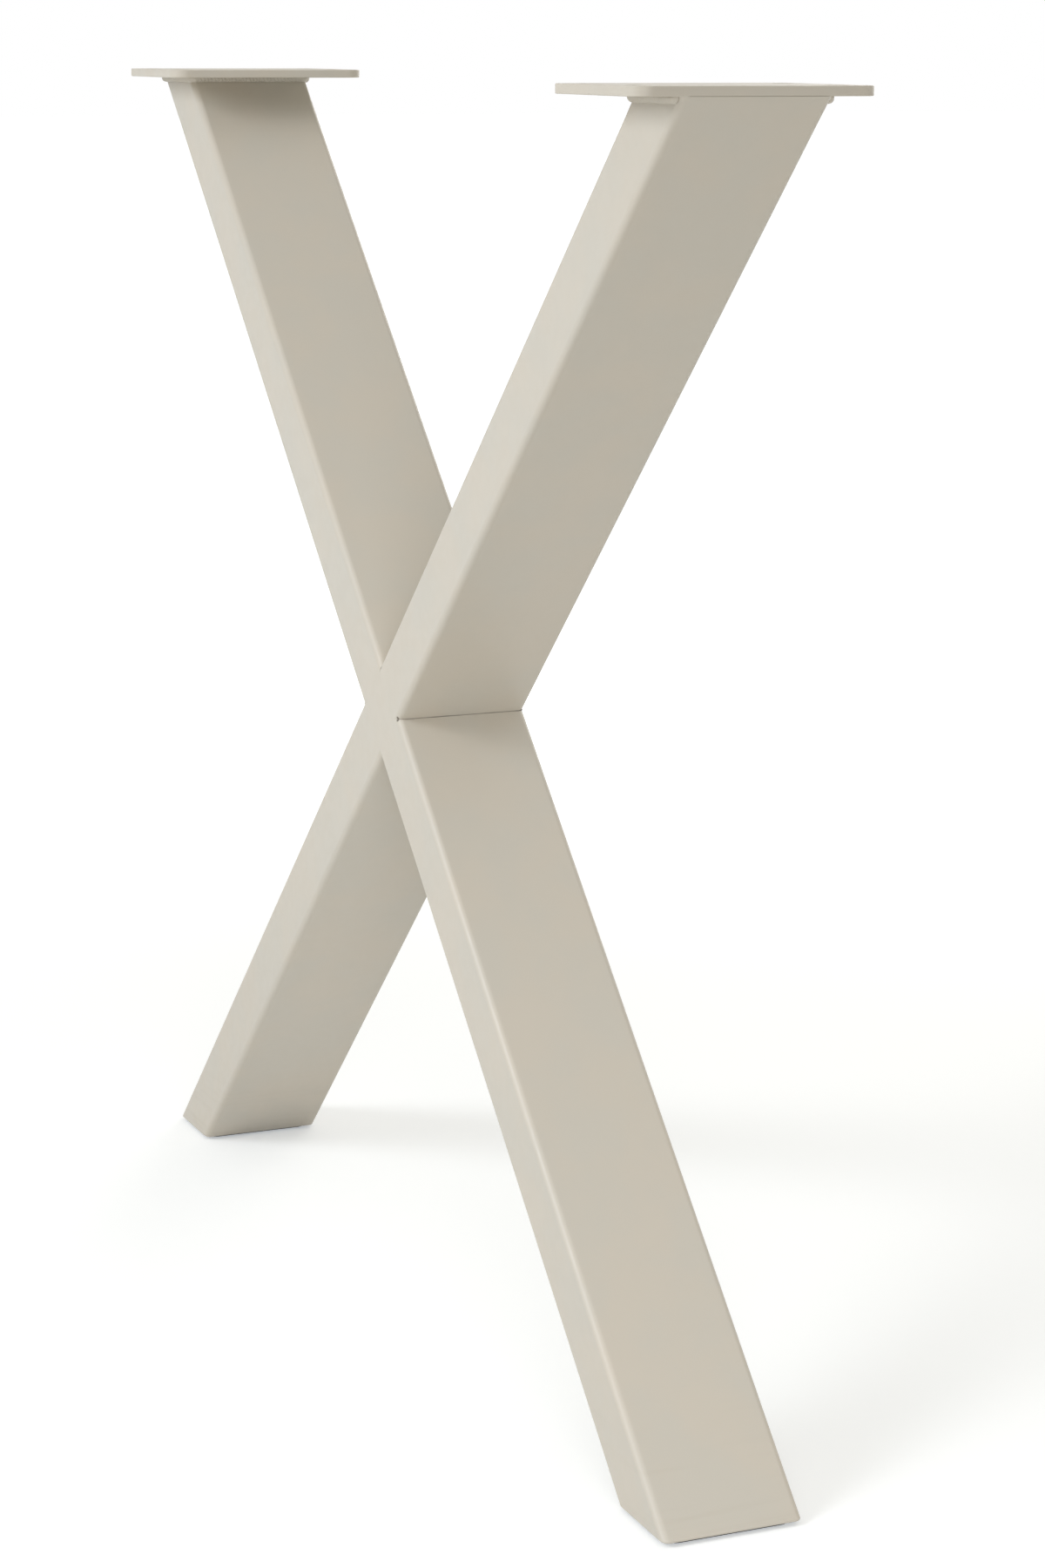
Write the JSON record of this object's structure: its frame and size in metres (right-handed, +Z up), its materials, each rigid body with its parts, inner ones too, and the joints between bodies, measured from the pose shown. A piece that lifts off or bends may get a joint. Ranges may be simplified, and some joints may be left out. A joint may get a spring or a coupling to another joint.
{
  "type": "x-shaped table leg",
  "caption": "X-shaped steel table leg of rectangular tube with a coped, flush crossing, slotted mounting plates on top and glide pads under its closed feet.",
  "frame": {"origin": "on the floor, straight below the middle of the crossing", "axes": "+Z up, +X across the leg towards the end whose top is the through tube's, +Y through the leg's depth"},
  "size_m": [0.8, 0.13, 0.73],
  "materials": {
    "powder_coat": "satin powder coat in warm sand grey",
    "felt": "dark grey pressed felt"
  },
  "bodies": {
    "root": {"through_tube": "powder_coat", "upper_half_tube": "powder_coat", "lower_half_tube": "powder_coat", "left_mounting_plate": "powder_coat", "right_mounting_plate": "powder_coat", "left_foot_plate": "powder_coat", "right_foot_plate": "powder_coat", "left_glide_pad": "felt", "right_glide_pad": "felt"}
  },
  "joints": []
}
